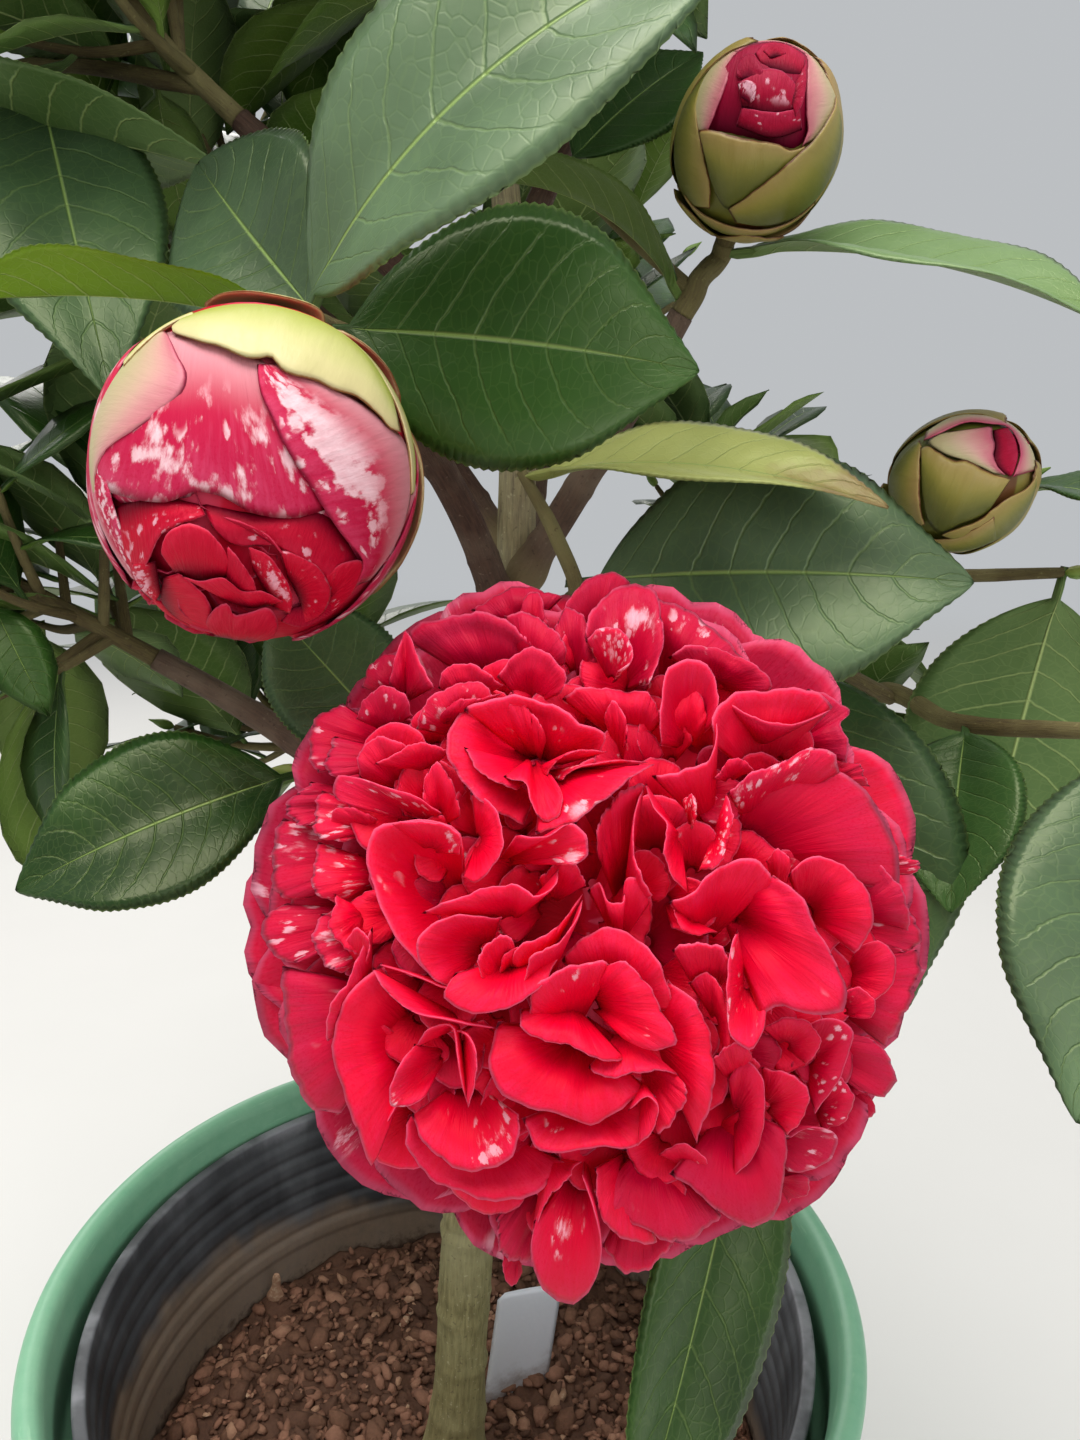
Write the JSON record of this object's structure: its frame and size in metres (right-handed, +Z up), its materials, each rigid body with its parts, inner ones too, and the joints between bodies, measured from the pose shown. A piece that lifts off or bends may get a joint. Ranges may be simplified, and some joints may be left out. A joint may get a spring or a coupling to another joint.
{
  "type": "potted camellia shrub",
  "caption": "Young evergreen shrub with one big ruffled red bloom and fat buds, growing from bark mix in a ribbed liner inside a round tapered pot.",
  "frame": {"origin": "centre of the pot's flat underside", "axes": "+Z up along the pot, -Y towards the front, where the open bloom faces, +X to the right of someone who looks at the front"},
  "size_m": [0.3589, 0.3931, 0.7267],
  "materials": {
    "outer_pot": "satin pale green plastic",
    "inner_pot": "worn dark grey plastic with dried soil marks",
    "potting_mix": "loose damp bark crumbs",
    "plant_tag": "plain white card",
    "trunk": "smooth pale grey-green bark",
    "bough": "reddish brown bark",
    "leaf": "glossy dark green leaf with a pale midrib",
    "bloom": "velvety crimson petal with white flecks",
    "bud_big": "rose red petal with white dashes",
    "bud_small": "olive green scale"
  },
  "bodies": {
    "root": {"outer_pot": "outer_pot", "inner_pot": "inner_pot", "potting_mix": "potting_mix", "plant_tag": "plant_tag", "trunk": "trunk", "bough_front": "bough", "bough_left": "bough", "bough_upper_right": "bough", "bough_right": "bough", "bough_middle": "bough", "bough_left_low": "bough", "bough_left_high": "bough", "bough_back_left": "bough", "bough_back": "bough", "bough_back_right": "bough", "bough_back_low": "bough", "bough_right_low": "bough", "bough_right_high": "bough", "bough_right_back": "bough", "leaves_front": "leaf", "leaves_left": "leaf", "leaves_upper_right": "leaf", "leaves_right": "leaf", "leaves_middle": "leaf", "leaves_top": "leaf", "leaves_right_low": "leaf", "leaves_right_high": "leaf", "leaves_right_back": "leaf", "leaves_back_right": "leaf", "leaves_back_low": "leaf", "leaves_back": "leaf", "leaves_left_low": "leaf", "leaves_back_left": "leaf", "leaves_left_high": "leaf", "bloom": "bloom", "bud_big": "bud_big", "bud_upper": "bud_small", "bud_side": "bud_small"}
  },
  "joints": []
}
